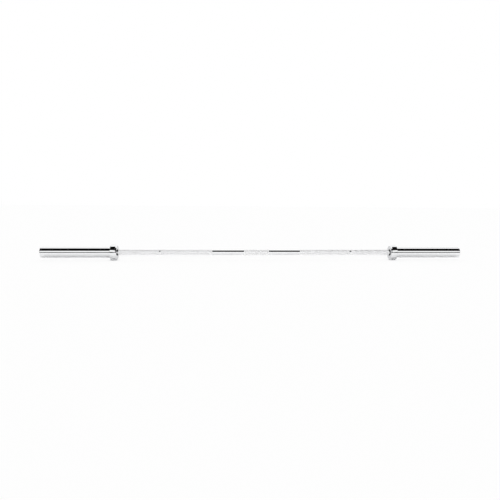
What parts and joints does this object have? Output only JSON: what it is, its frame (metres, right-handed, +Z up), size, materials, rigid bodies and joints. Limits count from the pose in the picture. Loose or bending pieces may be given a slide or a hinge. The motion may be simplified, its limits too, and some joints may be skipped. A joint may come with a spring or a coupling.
{
  "type": "olympic barbell",
  "caption": "Straight chromed barbell with a knurled grip shaft and, at each end, a smooth free-spinning sleeve with a stop collar for loading weight plates.",
  "frame": {"origin": "middle of the shaft's axis, halfway between the ends of the sleeves", "axes": "+X along the bar to the right-hand sleeve, +Z up"},
  "size_m": [2.01, 0.072, 0.072],
  "materials": {
    "knurled_chrome": "satin chrome, knurled",
    "polished_chrome": "mirror polished chrome",
    "cap_steel": "turned, zinc plated",
    "spring_steel": "black phosphate",
    "washer_steel": "ground and oiled",
    "bushing_bronze": "machined bronze",
    "seal_rubber": "matte black rubber"
  },
  "bodies": {
    "shaft": {"shaft": "knurled_chrome", "left_outer_thrust_washer": "washer_steel", "left_shaft_retaining_ring": "spring_steel", "right_outer_thrust_washer": "washer_steel", "right_shaft_retaining_ring": "spring_steel"},
    "left_sleeve": {"left_collar": "polished_chrome", "left_dust_seal": "seal_rubber", "left_sleeve_tube": "polished_chrome", "left_inner_thrust_washer": "washer_steel", "left_inner_bushing": "bushing_bronze", "left_outer_bushing": "bushing_bronze", "left_end_cap": "cap_steel", "left_cap_retaining_ring": "spring_steel"},
    "right_sleeve": {"right_collar": "polished_chrome", "right_dust_seal": "seal_rubber", "right_sleeve_tube": "polished_chrome", "right_inner_thrust_washer": "washer_steel", "right_inner_bushing": "bushing_bronze", "right_outer_bushing": "bushing_bronze", "right_end_cap": "cap_steel", "right_cap_retaining_ring": "spring_steel"}
  },
  "joints": [
    {"name": "left_sleeve_spin", "type": "hinge", "parent": "shaft", "child": "left_sleeve", "pos_m": [-0.83, 0, 0], "axis": [1, 0, 0], "continuous": true},
    {"name": "right_sleeve_spin", "type": "hinge", "parent": "shaft", "child": "right_sleeve", "pos_m": [0.83, 0, 0], "axis": [1, 0, 0], "continuous": true}
  ]
}
